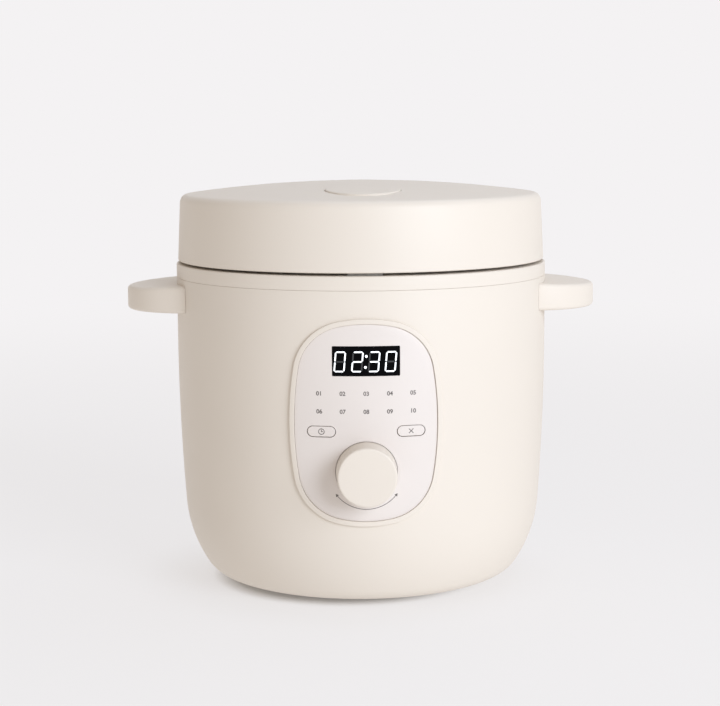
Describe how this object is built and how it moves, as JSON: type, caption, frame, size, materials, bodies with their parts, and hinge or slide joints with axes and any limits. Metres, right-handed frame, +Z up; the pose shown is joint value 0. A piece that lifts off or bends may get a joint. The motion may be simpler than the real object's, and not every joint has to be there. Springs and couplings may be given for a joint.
{
  "type": "electric rice cooker",
  "caption": "Round countertop rice cooker with a hinged latched lid, ear handles, inner pot and a curved control panel with a knob.",
  "frame": {"origin": "on the floor, under the axis of the body, at the centre of the footprint", "axes": "+Z up, front faces -Y, +X to the right as seen from the front"},
  "size_m": [0.26, 0.2317, 0.2216],
  "materials": {
    "body_plastic": "satin cream moulding",
    "panel_plastic": "satin pale pinkish white",
    "liner_plastic": "fine matt",
    "display": "smoked and glossy",
    "black_plastic": "matt black",
    "circuit_board": "solder mask",
    "foot_rubber": "matt",
    "silicone": "milky",
    "aluminium": "satin",
    "nonstick": "dark non-stick coating",
    "steel": "plain steel",
    "brass": "plain brass"
  },
  "bodies": {
    "cooker_body": {"outer_body": "body_plastic", "collar_ring": "body_plastic", "base_cover": "liner_plastic", "base_screws": "steel", "feet": "foot_rubber", "left_handle": "body_plastic", "right_handle": "body_plastic", "handle_screws": "steel", "panel_bezel": "body_plastic", "control_plate": "panel_plastic", "display_window": "display", "display_module": "display", "key_switches": "black_plastic", "control_board": "circuit_board", "board_screws": "steel", "encoder_body": "black_plastic", "inner_liner": "steel", "heating_plate": "aluminium", "heating_element": "steel", "heater_posts": "steel", "sensor_bracket": "steel", "sensor_spring": "steel", "inner_pot": "nonstick", "power_inlet": "black_plastic", "inlet_pins": "brass", "power_board": "circuit_board", "power_components": "black_plastic", "hinge_bracket": "body_plastic", "hinge_pin": "steel", "hinge_screws": "steel", "hinge_spring": "steel"},
    "lid": {"lid_cover": "body_plastic", "lid_liner": "liner_plastic", "lid_screws": "steel", "inner_lid": "aluminium", "lid_gasket": "silicone", "lid_plug": "silicone", "vent_seal": "silicone", "latch_pin": "steel", "latch_spring": "steel"},
    "vent_cap": {"vent_cap": "body_plastic"},
    "lid_button": {"lid_button": "body_plastic"},
    "latch": {"latch_lever": "liner_plastic"},
    "knob_plunger": {"encoder_plunger": "black_plastic"},
    "knob": {"control_knob": "body_plastic", "encoder_shaft": "steel"},
    "timer_key": {"timer_key": "panel_plastic"},
    "cancel_key": {"cancel_key": "panel_plastic"},
    "sensor": {"sensor_cap": "aluminium"}
  },
  "joints": [
    {"name": "lid_hinge", "type": "hinge", "parent": "cooker_body", "child": "lid", "pos_m": [0, 0.1088, 0.1845], "axis": [-1, 0, 0], "range_deg": [0, 85], "deforming": ["hinge_spring"]},
    {"name": "button_press", "type": "slide", "parent": "lid", "child": "lid_button", "axis": [0, 0, -1], "range_m": [0, 0.003], "stiffness_N_per_m": 800, "springref_m": -0.003, "deforming": ["latch_spring"]},
    {"name": "latch_swing", "type": "hinge", "parent": "lid", "child": "latch", "pos_m": [0, -0.091, 0.1942], "axis": [-1, 0, 0], "range_deg": [0, 5.6]},
    {"name": "knob_press", "type": "slide", "parent": "cooker_body", "child": "knob_plunger", "axis": [0, 1, 0], "range_m": [0, 0.0008], "stiffness_N_per_m": 2000, "springref_m": -0.001},
    {"name": "knob_turn", "type": "hinge", "parent": "knob_plunger", "child": "knob", "pos_m": [0, -0.1018, 0.0772], "axis": [0, -1, 0], "continuous": true},
    {"name": "timer_press", "type": "slide", "parent": "cooker_body", "child": "timer_key", "axis": [0, 1, 0], "range_m": [0, 0.0005], "stiffness_N_per_m": 2000, "springref_m": -0.001},
    {"name": "cancel_press", "type": "slide", "parent": "cooker_body", "child": "cancel_key", "axis": [0, 1, 0], "range_m": [0, 0.0005], "stiffness_N_per_m": 2000, "springref_m": -0.001},
    {"name": "sensor_press", "type": "slide", "parent": "cooker_body", "child": "sensor", "axis": [0, 0, -1], "range_m": [0, 0.0025], "stiffness_N_per_m": 400, "springref_m": -0.003, "deforming": ["sensor_spring"]},
    {"name": "vent_lift", "type": "slide", "parent": "lid", "child": "vent_cap", "axis": [0, 0, 1], "range_m": [0, 0.036]}
  ],
  "couplings": [
    {"joint": "latch_swing", "follows": "button_press", "rad_per_m": 32.258}
  ]
}
